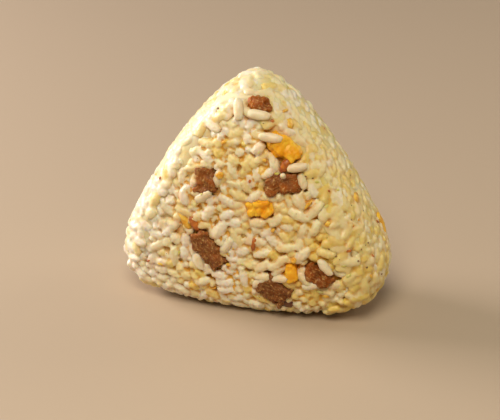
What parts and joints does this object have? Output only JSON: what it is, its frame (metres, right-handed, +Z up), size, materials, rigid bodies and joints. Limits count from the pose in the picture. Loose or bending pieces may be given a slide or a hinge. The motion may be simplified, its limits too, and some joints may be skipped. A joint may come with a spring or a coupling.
{
  "type": "onigiri rice ball",
  "caption": "Triangular rice ball of pressed fried rice with diced roast pork and scrambled egg, standing upright on its narrow base.",
  "frame": {"origin": "middle of the flat base, on the surface it stands on", "axes": "+Z up towards the tip, +X along the width of the triangle, -Y out of the broad face shown in front, +Y through the thickness"},
  "size_m": [0.0781, 0.0377, 0.0691],
  "materials": {
    "rice": "moist cooked rice grains, slightly translucent, tinted by soy sauce and egg in the gaps",
    "pork": "fibrous brown roast pork, moist",
    "egg": "soft yellow scrambled egg, moist"
  },
  "bodies": {
    "root": {"rice": "rice", "pork_front_top": "pork", "pork_front_left": "pork", "pork_front_middle": "pork", "pork_front_lower_left": "pork", "pork_front_bottom": "pork", "pork_front_lower_right": "pork", "pork_back_upper": "pork", "pork_back_left": "pork", "pork_back_right": "pork", "pork_back_low": "pork", "pork_side_left": "pork", "egg_front_upper": "egg", "egg_front_middle": "egg", "egg_front_low": "egg", "egg_back_upper": "egg", "egg_back_low": "egg", "egg_side_right": "egg"}
  },
  "joints": []
}
